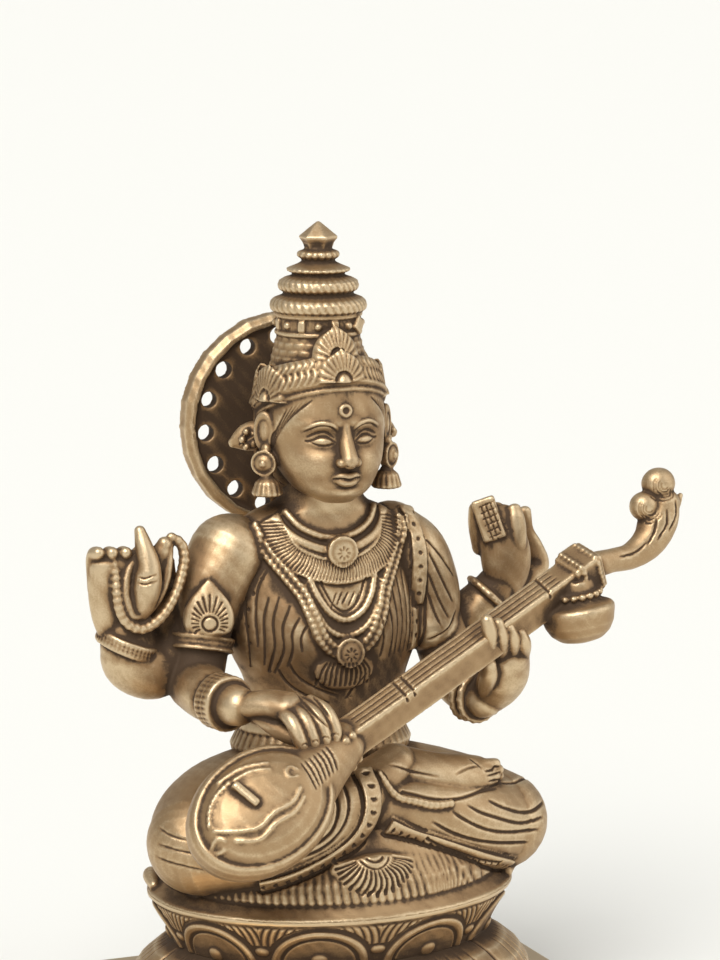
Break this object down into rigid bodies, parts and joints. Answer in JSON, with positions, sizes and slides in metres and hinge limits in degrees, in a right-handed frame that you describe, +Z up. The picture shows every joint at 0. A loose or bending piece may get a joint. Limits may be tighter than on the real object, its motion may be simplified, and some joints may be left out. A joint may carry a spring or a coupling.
{
  "type": "seated four-armed goddess figure with veena",
  "caption": "Cast brass goddess with several arms, seated cross-legged playing a veena, with a pierced halo disc, on a lotus pedestal and rectangular plinth.",
  "frame": {"origin": "centre of the pedestal's flat underside", "axes": "+Z up, the figure faces -Y, and its left hand and the veena's upper end are towards +X"},
  "size_m": [0.123, 0.08, 0.1668],
  "materials": {
    "brass": "aged, rubbed bright on the high places and dark brown in the recesses"
  },
  "bodies": {
    "root": {"seated_figure": "brass", "lotus_pedestal": "brass"}
  },
  "joints": []
}
